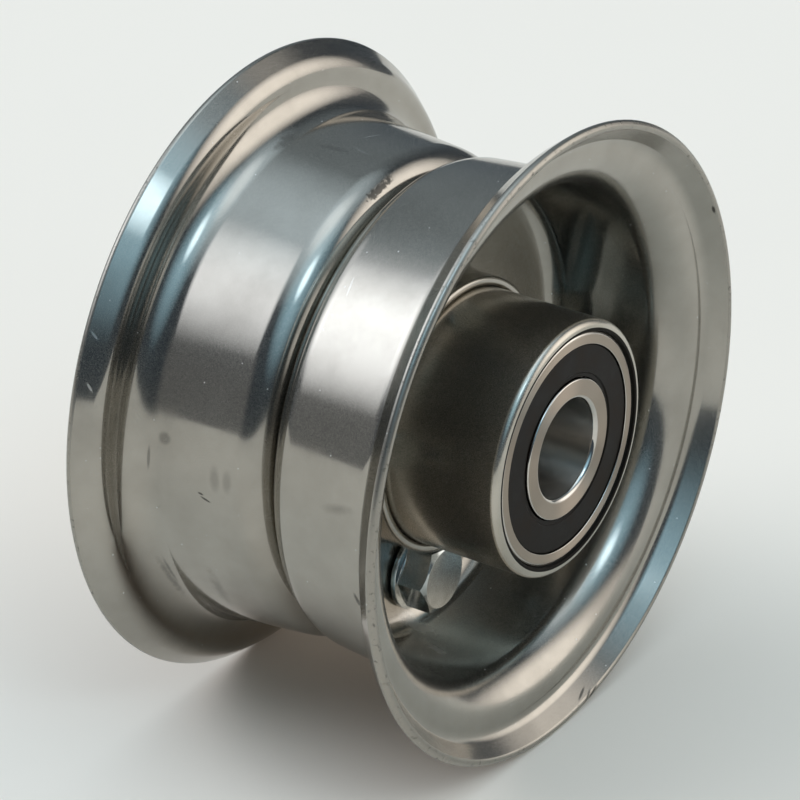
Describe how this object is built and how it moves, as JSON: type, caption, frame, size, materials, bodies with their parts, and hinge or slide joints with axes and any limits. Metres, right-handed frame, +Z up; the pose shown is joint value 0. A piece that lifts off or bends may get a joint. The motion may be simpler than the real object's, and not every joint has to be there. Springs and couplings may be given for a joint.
{
  "type": "split wheel rim",
  "caption": "Split pressed-steel wheel rim for a small castor or trolley wheel: back-to-back flanged halves bolted round a tubular hub with sealed ball bearings, spinning on a plain axle.",
  "frame": {"origin": "the wheel's centre, on the spin axis at the split plane between the rim halves", "axes": "+Y along the spin axis, from the bolt-head side to the nut side; +Z up; the side seen in the picture faces -Y"},
  "size_m": [0.128, 0.074, 0.128],
  "materials": {
    "pressed_steel": "bright rolled and drawn sheet, lightly oiled, scuffed",
    "hub_steel": "drawn bright tube",
    "bearing_steel": "ground bearing steel",
    "ball_steel": "mirror polished",
    "cage_steel": "pressed strip",
    "seal_rubber": "moulded nitrile, satin",
    "zinc_plate": "bright zinc plated"
  },
  "bodies": {
    "axle_core": {"front_inner_ring": "bearing_steel", "rear_inner_ring": "bearing_steel", "spacer_sleeve": "hub_steel"},
    "rim": {"front_rim_half": "pressed_steel", "rear_rim_half": "pressed_steel", "hub_tube": "hub_steel", "rim_bolts": "zinc_plate", "rim_nuts": "zinc_plate", "front_outer_ring": "bearing_steel", "rear_outer_ring": "bearing_steel", "front_outer_seal": "seal_rubber", "front_inner_seal": "seal_rubber", "rear_outer_seal": "seal_rubber", "rear_inner_seal": "seal_rubber"},
    "front_cage": {"front_balls": "ball_steel", "front_cage_rivets": "cage_steel", "front_outer_cage_half": "cage_steel", "front_inner_cage_half": "cage_steel"},
    "rear_cage": {"rear_balls": "ball_steel", "rear_cage_rivets": "cage_steel", "rear_outer_cage_half": "cage_steel", "rear_inner_cage_half": "cage_steel"}
  },
  "joints": [
    {"name": "wheel_spin", "type": "hinge", "parent": "axle_core", "child": "rim", "pos_m": [0, 0, 0], "axis": [0, 1, 0], "continuous": true},
    {"name": "front_cage_spin", "type": "hinge", "parent": "axle_core", "child": "front_cage", "pos_m": [0, -0.0296, 0], "axis": [0, 1, 0], "continuous": true},
    {"name": "rear_cage_spin", "type": "hinge", "parent": "axle_core", "child": "rear_cage", "pos_m": [0, 0.0296, 0], "axis": [0, 1, 0], "continuous": true}
  ],
  "couplings": [
    {"joint": "front_cage_spin", "follows": "wheel_spin", "ratio": 0.61848},
    {"joint": "rear_cage_spin", "follows": "wheel_spin", "ratio": 0.61848}
  ]
}
